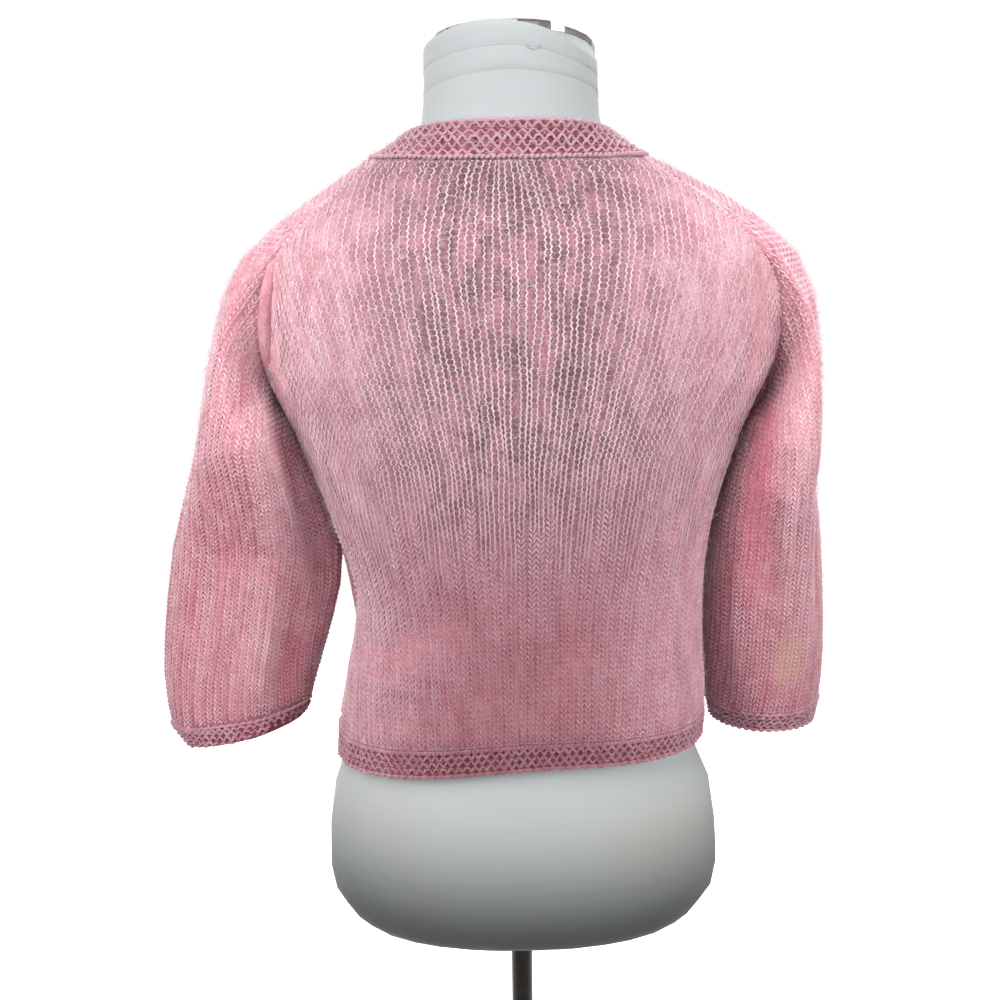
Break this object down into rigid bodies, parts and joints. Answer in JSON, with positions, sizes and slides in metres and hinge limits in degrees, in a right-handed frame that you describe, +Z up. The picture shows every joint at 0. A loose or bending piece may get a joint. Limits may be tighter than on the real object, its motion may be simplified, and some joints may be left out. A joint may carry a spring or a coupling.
{
  "type": "knit cardigan on a dress form",
  "caption": "Short loose mohair cardigan with three-quarter sleeves, garter stitch bands and a buttoned front, worn by a limbless dress form on a pole with a round base.",
  "frame": {"origin": "under the middle of the round base, on the floor", "axes": "+Z up, +Y out of the garment's front, -Y out of its back, +X towards the wearer's right"},
  "size_m": [0.5833, 0.33, 1.4763],
  "materials": {
    "mohair_knit": "loose brushed mohair stocking stitch",
    "garter_knit": "garter stitch in the same yarn",
    "dyed_button": "satin",
    "cotton_jersey": "matte stretched jersey",
    "polished_steel": "polished",
    "black_lacquer": "satin"
  },
  "bodies": {
    "root": {"back": "mohair_knit", "front_left": "mohair_knit", "front_right": "mohair_knit", "sleeve_left": "mohair_knit", "sleeve_right": "mohair_knit", "cuff_left": "garter_knit", "cuff_right": "garter_knit", "neckband": "garter_knit", "hem_band": "garter_knit", "front_band_left": "garter_knit", "front_band_right": "garter_knit", "button_1": "dyed_button", "button_2": "dyed_button", "button_3": "dyed_button", "button_4": "dyed_button", "button_5": "dyed_button", "form_body": "cotton_jersey", "neck_cap": "polished_steel", "pole_flange": "black_lacquer", "pole": "black_lacquer", "base_collar": "black_lacquer", "base_plate": "black_lacquer"}
  },
  "joints": []
}
